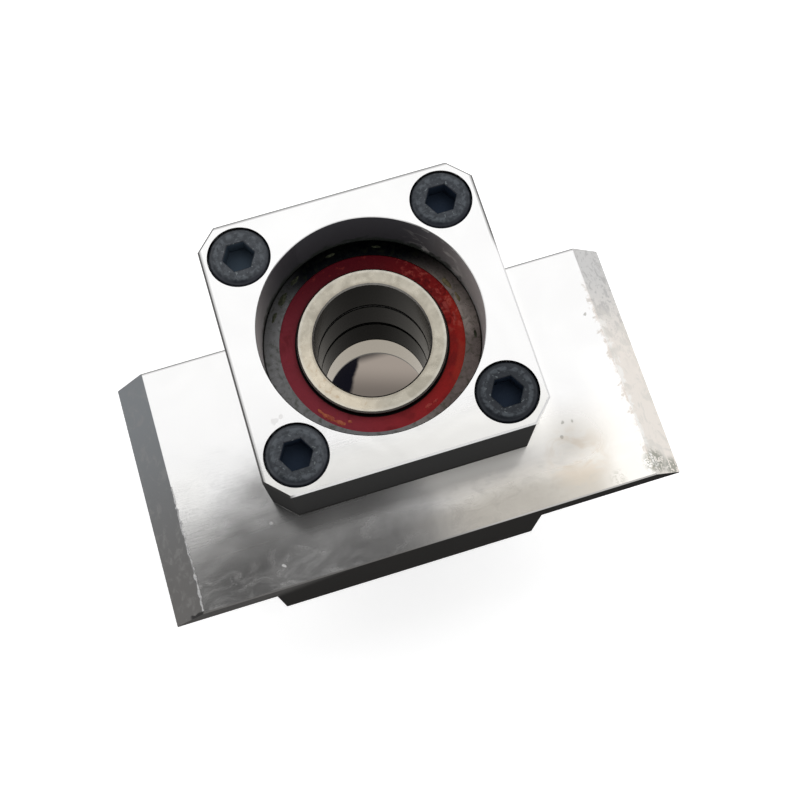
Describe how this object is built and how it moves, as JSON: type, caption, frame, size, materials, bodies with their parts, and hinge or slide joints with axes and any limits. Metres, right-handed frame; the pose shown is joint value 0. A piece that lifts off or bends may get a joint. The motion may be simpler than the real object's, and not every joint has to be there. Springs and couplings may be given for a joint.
{
  "type": "servo motor mount",
  "caption": "T-shaped servo motor mount: bevelled wing plate, square screwed flange and a bore holding a stack of sealed ball bearings.",
  "frame": {"origin": "centre of the rear face, where the bore axis meets its plane", "axes": "+Z along the bore axis towards the motor side, +X along the wing, -Y towards the base face"},
  "size_m": [0.114, 0.074, 0.0624],
  "materials": {
    "machined_steel": "bright machined steel with swirl marks",
    "black_oxide": "black oxide on steel screws",
    "bearing_steel": "ground bearing steel with a film of grease",
    "seal_rubber": "dark red moulded rubber, greasy",
    "cage_plastic": "natural moulded cage plastic"
  },
  "bodies": {
    "housing": {"housing": "machined_steel", "front_flange": "machined_steel", "cap_screw_1": "black_oxide", "cap_screw_2": "black_oxide", "cap_screw_3": "black_oxide", "cap_screw_4": "black_oxide", "front_outer_ring": "bearing_steel", "front_upper_seal": "seal_rubber", "front_lower_seal": "seal_rubber", "middle_outer_ring": "bearing_steel", "middle_upper_seal": "seal_rubber", "middle_lower_seal": "seal_rubber", "rear_outer_ring": "bearing_steel", "rear_upper_seal": "seal_rubber", "rear_lower_seal": "seal_rubber", "outer_spacer": "bearing_steel"},
    "shaft_rings": {"front_inner_ring": "bearing_steel", "middle_inner_ring": "bearing_steel", "rear_inner_ring": "bearing_steel", "inner_spacer": "bearing_steel"},
    "cages": {"front_cage": "cage_plastic", "front_balls": "bearing_steel", "middle_cage": "cage_plastic", "middle_balls": "bearing_steel", "rear_cage": "cage_plastic", "rear_balls": "bearing_steel"}
  },
  "joints": [
    {"name": "shaft_spin", "type": "hinge", "parent": "housing", "child": "shaft_rings", "pos_m": [0, 0, 0.026], "axis": [0, 0, 1], "continuous": true},
    {"name": "cage_spin", "type": "hinge", "parent": "housing", "child": "cages", "pos_m": [0, 0, 0.026], "axis": [0, 0, 1], "continuous": true}
  ],
  "couplings": [
    {"joint": "cage_spin", "follows": "shaft_spin", "ratio": 0.4118}
  ]
}
